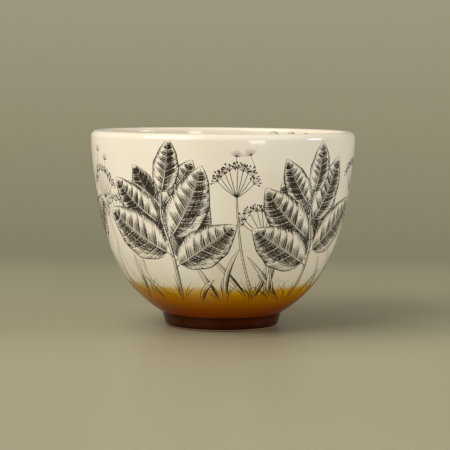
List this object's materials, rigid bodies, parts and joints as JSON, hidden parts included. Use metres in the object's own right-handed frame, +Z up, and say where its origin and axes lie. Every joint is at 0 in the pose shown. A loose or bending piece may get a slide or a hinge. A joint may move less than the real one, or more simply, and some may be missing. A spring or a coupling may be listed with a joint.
{
  "type": "pottery bowl",
  "caption": "Deep footed pottery bowl with a round lip, cream glaze over an amber lower wall and a brown foot ring, for holding and serving food.",
  "frame": {"origin": "on the table at the middle of the foot ring", "axes": "+Z up along the bowl's axis of revolution, out of its mouth; the print faces every way alike"},
  "size_m": [0.1516, 0.1516, 0.1124],
  "materials": {
    "clay": "bare fired clay, matt",
    "slip": "fired slip, matt",
    "cream_glaze": "glossy cream glaze",
    "amber_glaze": "glossy amber glaze",
    "brown_glaze": "glossy dark brown glaze",
    "print_ink": "sepia print under a gloss glaze"
  },
  "bodies": {
    "root": {"clay_body": "clay", "foot_ring": "clay", "luting_slip": "slip", "liner_glaze": "cream_glaze", "outer_glaze": "cream_glaze", "amber_glaze": "amber_glaze", "foot_glaze": "brown_glaze", "recess_glaze": "brown_glaze"}
  },
  "joints": []
}
